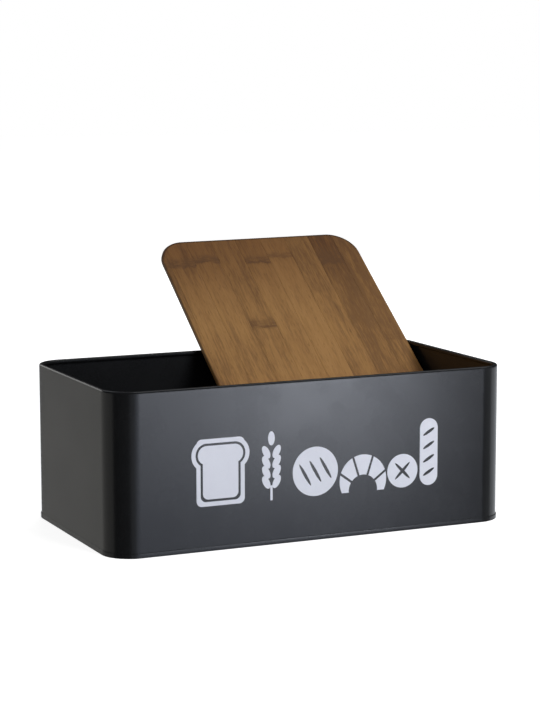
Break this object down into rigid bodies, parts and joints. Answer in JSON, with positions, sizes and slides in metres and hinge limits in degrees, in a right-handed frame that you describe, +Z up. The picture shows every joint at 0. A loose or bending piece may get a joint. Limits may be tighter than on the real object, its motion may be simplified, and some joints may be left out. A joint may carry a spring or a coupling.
{
  "type": "bread bin",
  "caption": "Rectangular steel bread bin with rounded corners and a rolled rim, and a loose laminated bamboo lid that leans in it.",
  "frame": {"origin": "centre of the tub's flat underside", "axes": "+X along the tub's length to the right, +Y from the printed front to the seamed back, +Z up"},
  "size_m": [0.3414, 0.2813, 0.2115],
  "materials": {
    "tub_coat": "satin powder coat",
    "print_ink": "matte screen print",
    "bamboo_upper": "oiled bamboo, satin",
    "bamboo_under": "oiled bamboo, satin"
  },
  "bodies": {
    "tub": {"wall": "tub_coat", "base_tray": "tub_coat", "front_print": "print_ink"},
    "lid": {"lid_upper_strip_1": "bamboo_upper", "lid_upper_strip_2": "bamboo_upper", "lid_upper_strip_3": "bamboo_upper", "lid_upper_strip_4": "bamboo_upper", "lid_upper_strip_5": "bamboo_upper", "lid_upper_strip_6": "bamboo_upper", "lid_upper_strip_7": "bamboo_upper", "lid_upper_strip_8": "bamboo_upper", "lid_upper_strip_9": "bamboo_upper", "lid_under_strip_1": "bamboo_under", "lid_under_strip_2": "bamboo_under", "lid_under_strip_3": "bamboo_under", "lid_under_strip_4": "bamboo_under", "lid_under_strip_5": "bamboo_under", "lid_under_strip_6": "bamboo_under", "lid_under_strip_7": "bamboo_under", "lid_under_strip_8": "bamboo_under"}
  },
  "joints": [
    {"name": "lid_lift", "type": "slide", "parent": "tub", "child": "lid", "axis": [0, 0.8023, 0.5969], "range_m": [0, 0.24]}
  ]
}
